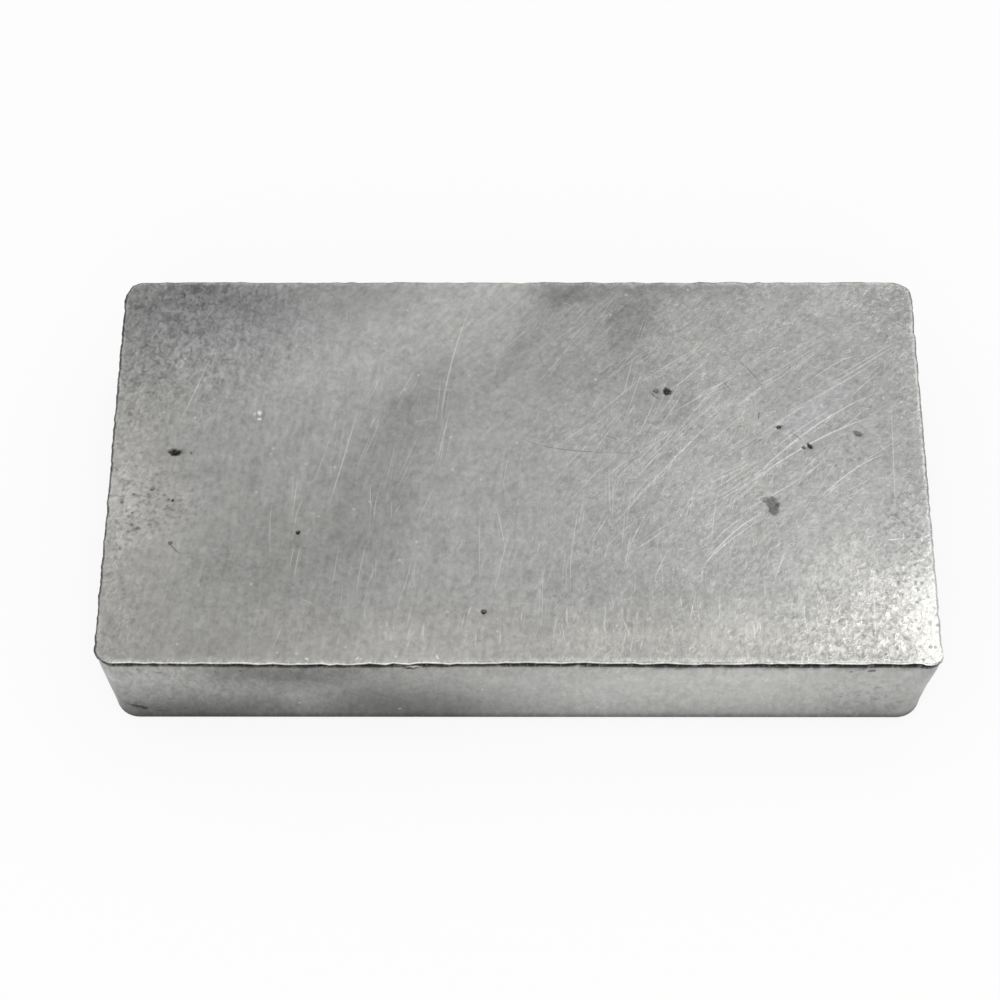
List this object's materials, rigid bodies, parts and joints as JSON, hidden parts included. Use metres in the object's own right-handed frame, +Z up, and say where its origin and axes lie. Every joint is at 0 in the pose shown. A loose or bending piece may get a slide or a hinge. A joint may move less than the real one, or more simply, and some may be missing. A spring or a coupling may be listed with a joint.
{
  "type": "metal ingot",
  "caption": "Low cast metal bar with drafted walls, rounded corners and a thin struck lip round its flat wide face, kept as stock for melting.",
  "frame": {"origin": "centre of the base, on the surface that the bar lies on", "axes": "+X along the length, +Y along the width towards the back, +Z up from the base to the struck face"},
  "size_m": [0.12, 0.0684, 0.017],
  "materials": {
    "cast_metal": "satin"
  },
  "bodies": {
    "root": {"ingot": "cast_metal"}
  },
  "joints": []
}
